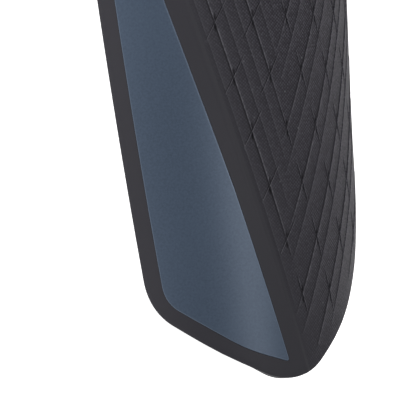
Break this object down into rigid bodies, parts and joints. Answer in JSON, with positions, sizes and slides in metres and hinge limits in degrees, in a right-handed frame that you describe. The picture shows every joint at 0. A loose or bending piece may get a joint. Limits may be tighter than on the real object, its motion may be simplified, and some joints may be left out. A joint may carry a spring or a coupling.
{
  "type": "football shin guard",
  "caption": "Slip-in football shin guard: a bowed hard shell with a satin side panel, a creased knurled front and a foam backing.",
  "frame": {"origin": "centre of the bounding box in plan, on the surface that the guard lies on", "axes": "+Y along the shin to the knee end, +Z out of the front of the shin, so the side panel is on the -X wing"},
  "size_m": [0.1156, 0.205, 0.0343],
  "materials": {
    "shell": "moulded, smooth border and fine knurl",
    "side_panel": "satin",
    "foam_backing": "matt closed-cell foam"
  },
  "bodies": {
    "root": {"shell": "shell", "side_panel": "side_panel", "foam_backing": "foam_backing"}
  },
  "joints": []
}
